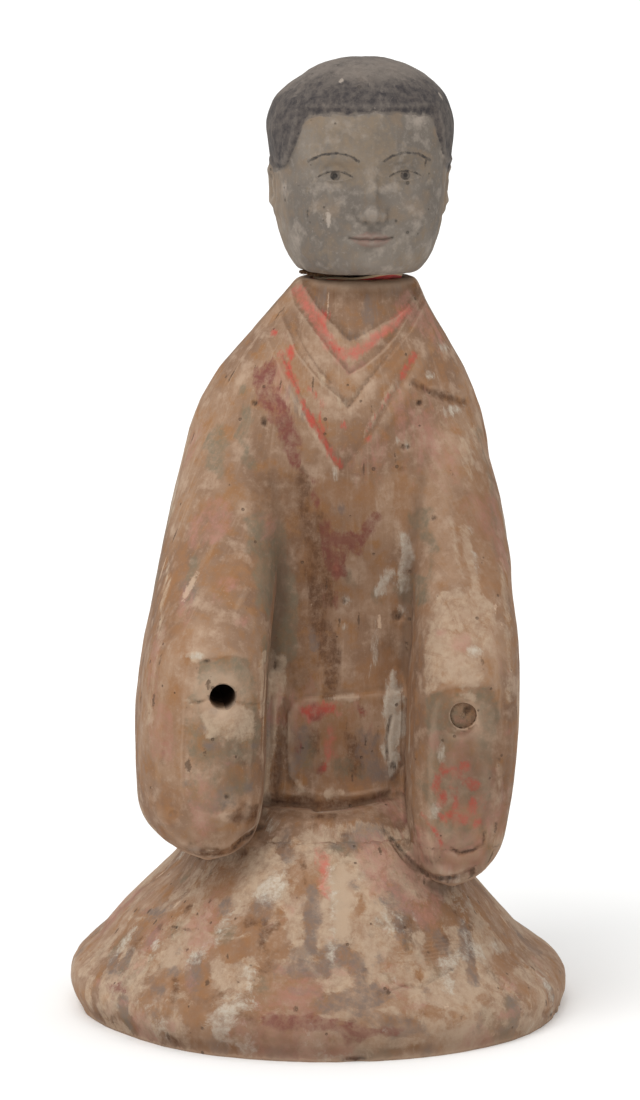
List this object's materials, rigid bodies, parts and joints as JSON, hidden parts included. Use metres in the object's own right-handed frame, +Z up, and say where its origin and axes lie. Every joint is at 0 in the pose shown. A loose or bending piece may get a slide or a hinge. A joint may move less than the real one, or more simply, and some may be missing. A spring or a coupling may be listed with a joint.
{
  "type": "tomb attendant figure",
  "caption": "Kneeling robed attendant in painted earthenware, hollow and open underneath, with crossed collars, long sleeves with sockets for lost hands, and a separate pegged head.",
  "frame": {"origin": "on the ground under the middle of the robe's hem", "axes": "+Z up, the figure faces -Y, its left hand lies at +X"},
  "size_m": [0.1812, 0.2006, 0.3417],
  "materials": {
    "painted_earthenware": "matt low-fired clay, buff brown, with worn cream slip and flaked red, orange and grey-green pigment",
    "grey_slip_earthenware": "matt low-fired clay under a grey-beige slip, with dark painted hair and brows",
    "red_cloth": "plain red woven cloth, wound tight",
    "torn_bark_fibre": "brown layered plant fibre with a torn, frayed edge"
  },
  "bodies": {
    "root": {"body": "painted_earthenware", "head": "grey_slip_earthenware", "neck_packing": "red_cloth", "fibre_pad": "torn_bark_fibre"}
  },
  "joints": []
}
